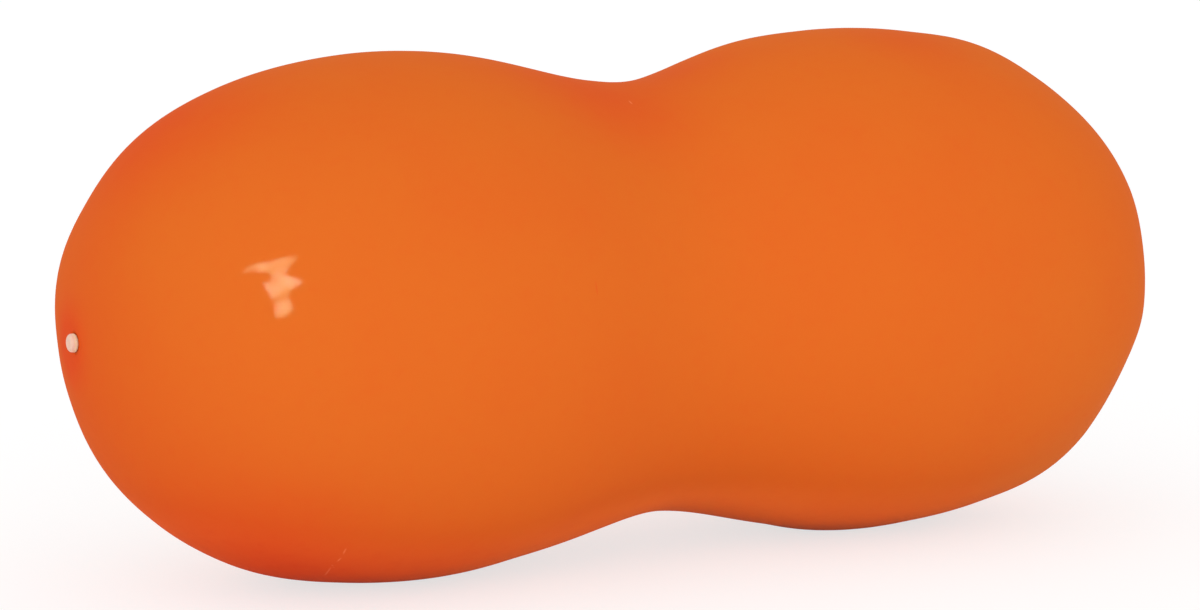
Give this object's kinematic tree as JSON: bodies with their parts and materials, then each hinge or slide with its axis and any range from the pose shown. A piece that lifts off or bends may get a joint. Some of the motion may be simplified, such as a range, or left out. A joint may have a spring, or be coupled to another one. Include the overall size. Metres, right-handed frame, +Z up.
{
  "type": "peanut ball",
  "caption": "Inflated exercise ball of orange vinyl with two round lobes joined by a waist, and a plug in the valve at one end.",
  "frame": {"origin": "on the floor, midway between the two flat patches that the lobes rest on, straight below the middle of the waist", "axes": "+Z up; +X along the ball's long axis, from the end with the valve towards the plain end; +Y across the ball"},
  "size_m": [1.0558, 0.4648, 0.4634],
  "materials": {
    "shell_vinyl": "satin",
    "seat_vinyl": "satin",
    "plug_polythene": "satin"
  },
  "bodies": {
    "ball": {"shell": "shell_vinyl", "valve_seat": "seat_vinyl"},
    "stopper": {"plug": "plug_polythene"}
  },
  "joints": [
    {"name": "plug_pull", "type": "slide", "parent": "ball", "child": "stopper", "axis": [-1, 0, 0], "range_m": [0, 0.045]}
  ]
}
